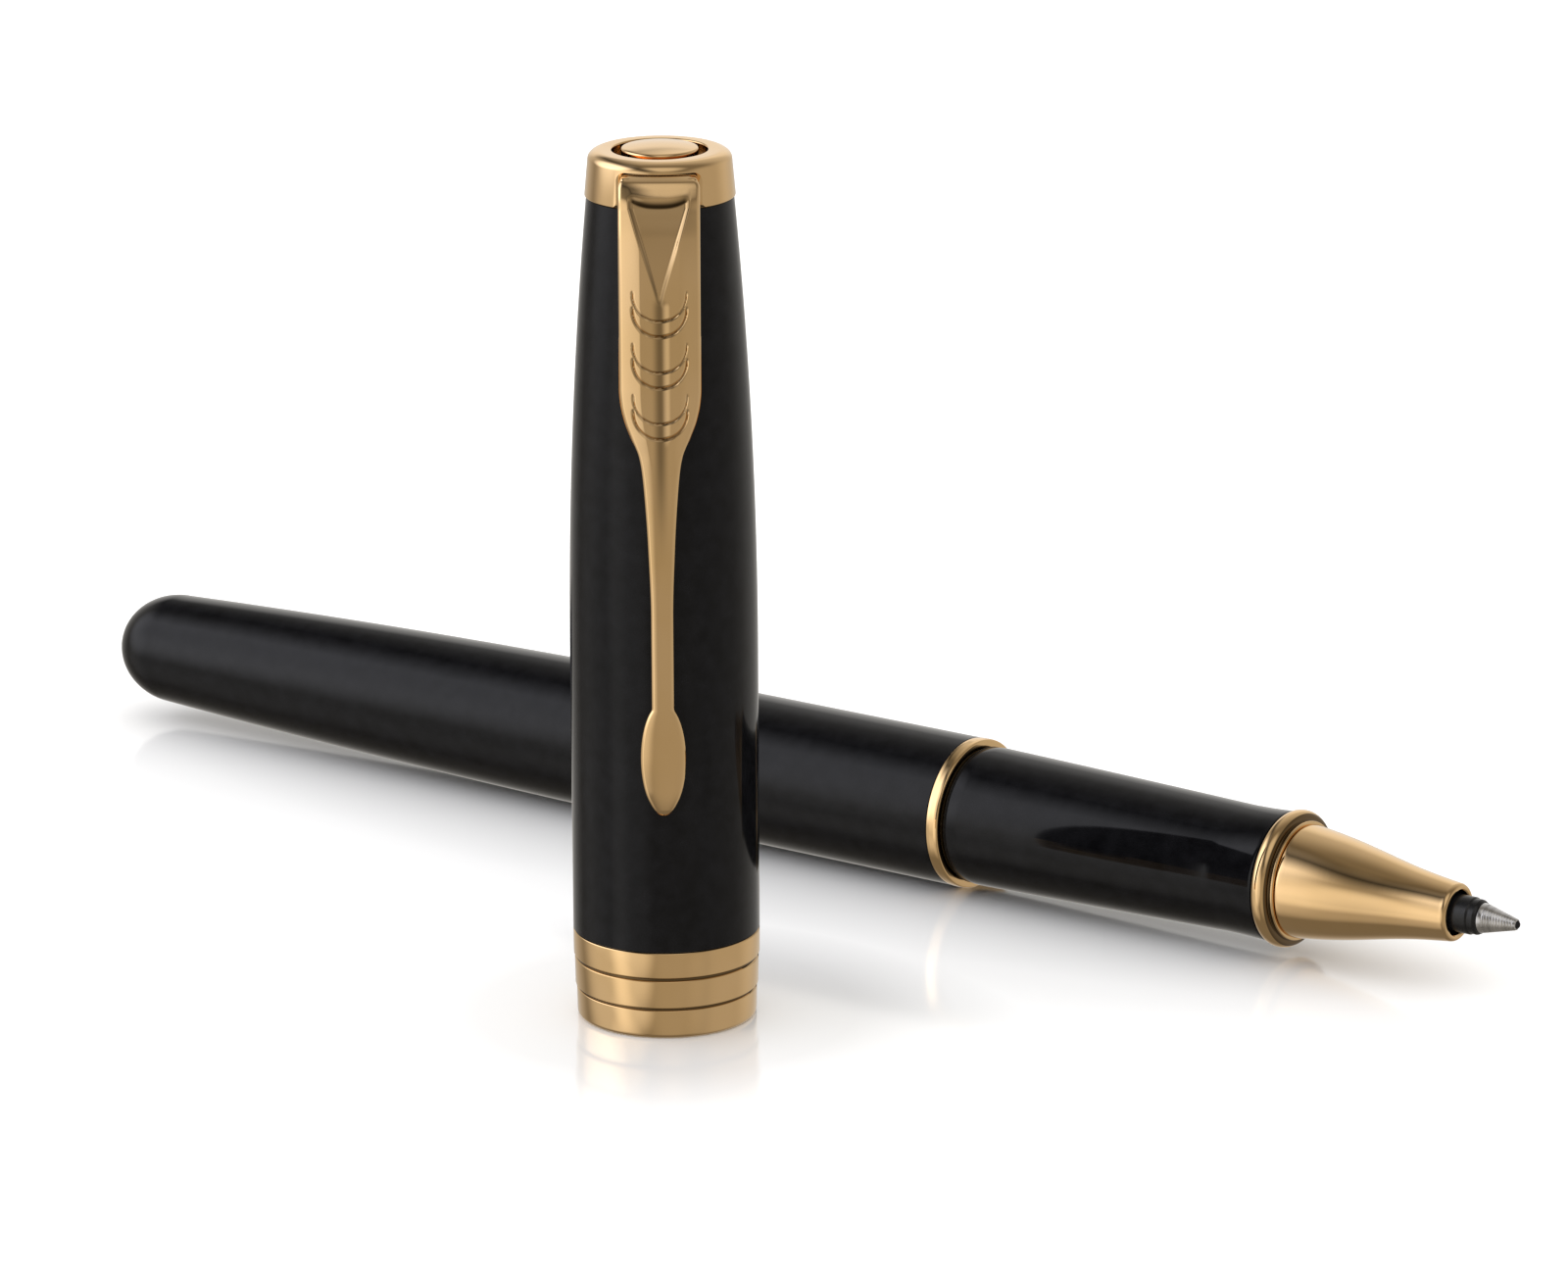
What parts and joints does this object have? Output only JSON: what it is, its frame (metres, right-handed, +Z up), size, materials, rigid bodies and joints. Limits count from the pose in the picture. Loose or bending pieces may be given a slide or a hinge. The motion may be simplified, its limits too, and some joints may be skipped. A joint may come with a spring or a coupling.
{
  "type": "rollerball pen",
  "caption": "Capped rollerball pen, uncapped: tapered black barrel and grip with gold trim, steel point, and a separate push-on cap with a sprung clip standing on its mouth.",
  "frame": {"origin": "middle of the footprint of the pen and its standing cap, on the surface that they rest on", "axes": "+X along the pen's own axis towards the writing point, +Y from the cap towards the pen, +Z up along the cap's own axis from its mouth to its crown"},
  "size_m": [0.1248, 0.0483, 0.0611],
  "materials": {
    "black_lacquer": "high gloss black lacquer on brass",
    "gold_plate": "polished pale gold plating",
    "brass": "turned brass, inside only",
    "steel": "plain drawn steel",
    "point_steel": "fine turned steel",
    "ball": "polished, wet with black ink",
    "black_plastic": "satin moulded black plastic",
    "rubber": "matt black gasket",
    "ink_core": "ink-filled fibre core, inside only"
  },
  "bodies": {
    "barrel": {"barrel_shell": "black_lacquer", "barrel_bush": "brass", "trim_ring": "gold_plate", "spring_cup": "black_plastic", "refill_spring": "steel"},
    "refill": {"refill_tube": "steel", "refill_core": "ink_core", "refill_plug": "black_plastic", "refill_nose": "black_plastic", "refill_point": "point_steel"},
    "ball": {"tip_ball": "ball"},
    "section": {"section_core": "brass", "section_gasket": "rubber", "grip_sleeve": "black_lacquer", "front_flange": "gold_plate", "nose_cone": "gold_plate"},
    "cap": {"cap_band": "gold_plate", "cap_clutch": "steel", "cap_tube": "black_lacquer", "cap_liner": "black_plastic", "crown_nut": "brass", "cap_crown": "gold_plate", "crown_washer": "black_plastic", "cap_button": "gold_plate", "clip_screw": "steel"},
    "clip": {"cap_clip": "gold_plate"}
  },
  "joints": [
    {"name": "cap_lift", "type": "slide", "parent": "barrel", "child": "cap", "axis": [0, 0, 1], "range_m": [0, 0.05]},
    {"name": "clip_flex", "type": "hinge", "parent": "cap", "child": "clip", "pos_m": [0.01785, -0.02001, 0.0588], "axis": [-0.8121, -0.5835, 0], "range_deg": [0, 3], "stiffness_Nm_per_rad": 1.4},
    {"name": "section_advance", "type": "slide", "parent": "barrel", "child": "refill", "axis": [1, 0, 0], "range_m": [0, 0.005], "deforming": ["refill_spring"]},
    {"name": "section_turn", "type": "hinge", "parent": "refill", "child": "section", "pos_m": [0.0164, 0.0187, 0.00546], "axis": [1, 0, 0], "range_deg": [0, 1800]},
    {"name": "ball_roll", "type": "hinge", "parent": "refill", "child": "ball", "pos_m": [0.06215, 0.0187, 0.00546], "axis": [0, 1, 0], "continuous": true}
  ],
  "couplings": [
    {"joint": "section_advance", "follows": "section_turn", "m_per_rad": 0.00015915}
  ]
}
